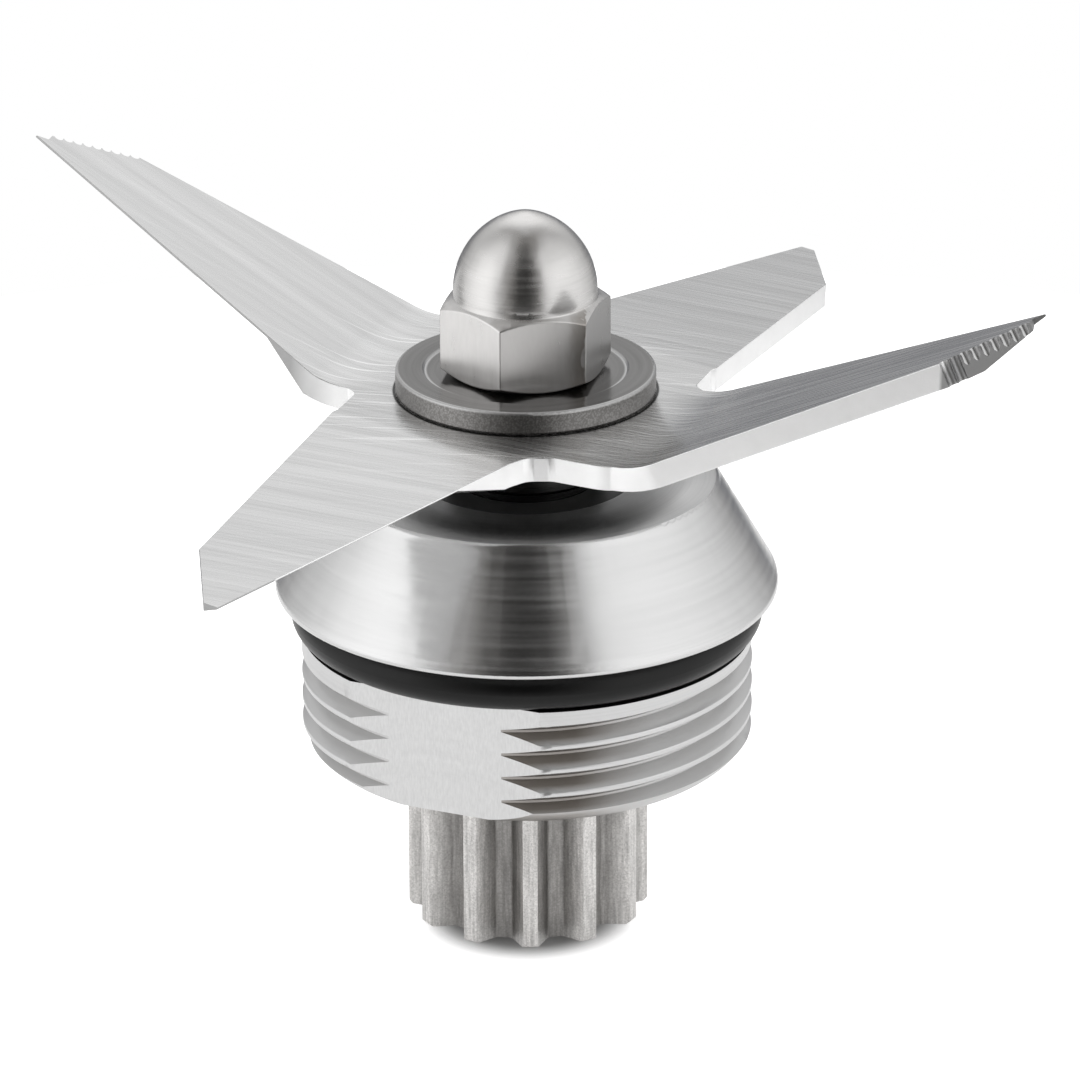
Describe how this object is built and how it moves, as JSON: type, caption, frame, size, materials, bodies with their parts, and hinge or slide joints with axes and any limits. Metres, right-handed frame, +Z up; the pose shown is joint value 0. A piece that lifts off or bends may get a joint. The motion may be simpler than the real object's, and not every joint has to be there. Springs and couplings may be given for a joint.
{
  "type": "blender blade assembly",
  "caption": "Blade assembly for a jug blender: bent wing blade with serrated tips on a bearing spindle, threaded housing with sealing ring, toothed drive coupling below.",
  "frame": {"origin": "on the shaft axis, at the underside of the drive spline", "axes": "+Z up along the shaft towards the cap nut; -Y is the pictured front"},
  "size_m": [0.0836, 0.0834, 0.0624],
  "materials": {
    "blade_steel": "brushed sheet steel, satin, bright ground edges",
    "housing_steel": "turned steel, fine circular brushing",
    "spline_steel": "sintered steel, fine matte grain",
    "washer_steel": "turned steel, darker and matte",
    "nut_steel": "cap nut, satin dome and plain hexagon",
    "shaft_steel": "ground steel",
    "collar_steel": "blackened steel, satin",
    "rubber": "black rubber, satin",
    "bearing_steel": "hardened bearing steel, polished",
    "cage_brass": "plain brass",
    "spring_steel": "phosphated spring steel"
  },
  "bodies": {
    "housing": {"housing": "housing_steel", "o_ring": "rubber", "seal_case": "shaft_steel", "seal_lip": "rubber", "garter_spring": "spring_steel", "outer_spacer": "shaft_steel", "disc_spring": "spring_steel", "retaining_ring": "spring_steel", "lower_outer_race": "bearing_steel", "lower_shields": "bearing_steel", "upper_outer_race": "bearing_steel", "upper_shields": "bearing_steel"},
    "rotor": {"drive_spline": "spline_steel", "shaft": "shaft_steel", "lower_inner_race": "bearing_steel", "spacer_sleeve": "shaft_steel", "upper_inner_race": "bearing_steel", "blade_spacer": "collar_steel", "blade": "blade_steel", "clamp_washer": "washer_steel", "acorn_nut": "nut_steel"},
    "lower_ball_set": {"lower_balls": "bearing_steel", "lower_cage": "cage_brass"},
    "upper_ball_set": {"upper_balls": "bearing_steel", "upper_cage": "cage_brass"}
  },
  "joints": [
    {"name": "rotor_spin", "type": "hinge", "parent": "housing", "child": "rotor", "pos_m": [0, 0, 0.026], "axis": [0, 0, 1], "continuous": true},
    {"name": "lower_cage_spin", "type": "hinge", "parent": "housing", "child": "lower_ball_set", "pos_m": [0, 0, 0.0205], "axis": [0, 0, 1], "continuous": true},
    {"name": "upper_cage_spin", "type": "hinge", "parent": "housing", "child": "upper_ball_set", "pos_m": [0, 0, 0.0315], "axis": [0, 0, 1], "continuous": true}
  ],
  "couplings": [
    {"joint": "lower_cage_spin", "follows": "rotor_spin", "ratio": 0.3677},
    {"joint": "upper_cage_spin", "follows": "rotor_spin", "ratio": 0.3677}
  ]
}
